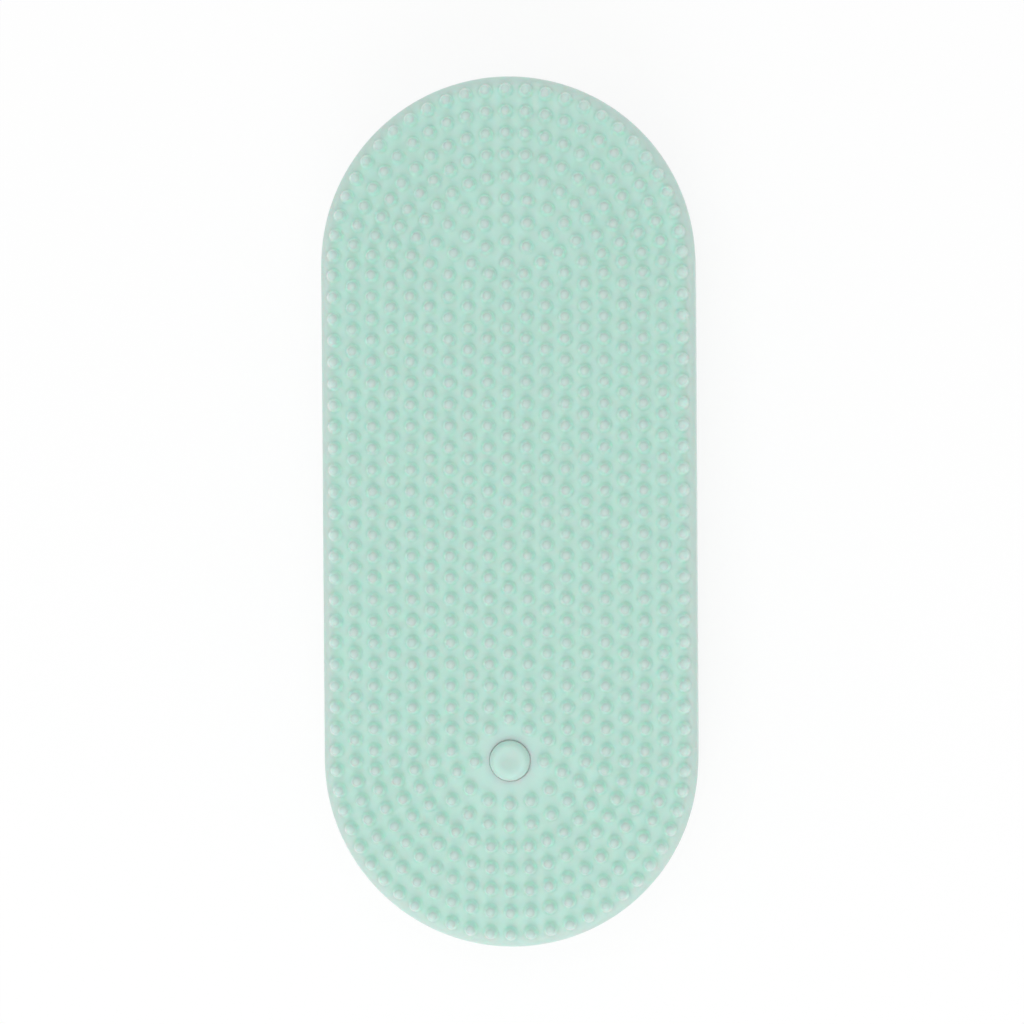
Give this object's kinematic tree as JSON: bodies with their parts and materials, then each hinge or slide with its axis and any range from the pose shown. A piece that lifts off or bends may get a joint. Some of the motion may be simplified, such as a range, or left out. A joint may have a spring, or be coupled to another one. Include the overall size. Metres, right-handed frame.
{
  "type": "facial cleansing brush",
  "caption": "Slim hand-held silicone face brush: a long round-ended body with a field of soft nubs, a power key, a vibration motor, a sealed battery and a round charge socket.",
  "frame": {"origin": "middle of the flat back that the brush rests on", "axes": "+Z out of the nub face, +Y along the body away from the power key, +X across it"},
  "size_m": [0.056, 0.13, 0.0228],
  "materials": {
    "mint_silicone": "matte silicone",
    "white_abs": "fine moulded texture",
    "seal_rubber": "smooth",
    "screw_steel": "satin",
    "black_plastic": "fine matte",
    "red_plastic": "satin",
    "board_green": "solder mask",
    "led_white": "satin",
    "clear_plastic": "polished",
    "solder": "bright",
    "cell_foil": "satin foil",
    "amber_tape": "film",
    "foam": "matte foam",
    "lead_red": "smooth",
    "lead_black": "smooth",
    "motor_steel": "plated",
    "bearing_bronze": "sintered",
    "contact_brass": "plated",
    "magnet": "matte",
    "core_iron": "laminated",
    "copper": "enamelled",
    "weight_metal": "sintered"
  },
  "bodies": {
    "housing": {"front_skin": "mint_silicone", "back_skin": "mint_silicone", "front_shell": "white_abs", "back_shell": "white_abs", "shell_gasket": "seal_rubber", "shell_screws": "screw_steel", "button_seal": "seal_rubber", "tact_switch": "black_plastic", "circuit_board": "board_green", "board_chips": "black_plastic", "board_screws": "screw_steel", "status_led": "led_white", "light_pipe": "clear_plastic", "solder_joints": "solder", "battery_cell": "cell_foil", "cell_circuit": "amber_tape", "battery_pad": "foam", "battery_lead_red": "lead_red", "battery_lead_black": "lead_black", "motor_can": "motor_steel", "motor_end_cap": "black_plastic", "motor_brushes": "contact_brass", "motor_bushings": "bearing_bronze", "motor_magnets": "magnet", "motor_sleeve": "seal_rubber", "motor_clamp": "white_abs", "clamp_screws": "screw_steel", "motor_lead_red": "lead_red", "motor_lead_black": "lead_black", "charge_socket": "black_plastic", "socket_contacts": "contact_brass", "socket_seal": "seal_rubber"},
    "power_button": {"button_cap": "mint_silicone", "button_plunger": "white_abs", "switch_actuator": "red_plastic"},
    "rotor": {"motor_shaft": "motor_steel", "armature": "core_iron", "armature_windings": "copper", "commutator": "copper", "eccentric_weight": "weight_metal"}
  },
  "joints": [
    {"name": "button_press", "type": "slide", "parent": "housing", "child": "power_button", "axis": [0, 0, -1], "range_m": [0, 0.0005], "stiffness_N_per_m": 2500, "springref_m": -0.0002},
    {"name": "rotor_spin", "type": "hinge", "parent": "housing", "child": "rotor", "pos_m": [0, 0.0408, 0.00975], "axis": [0, 1, 0], "continuous": true}
  ]
}
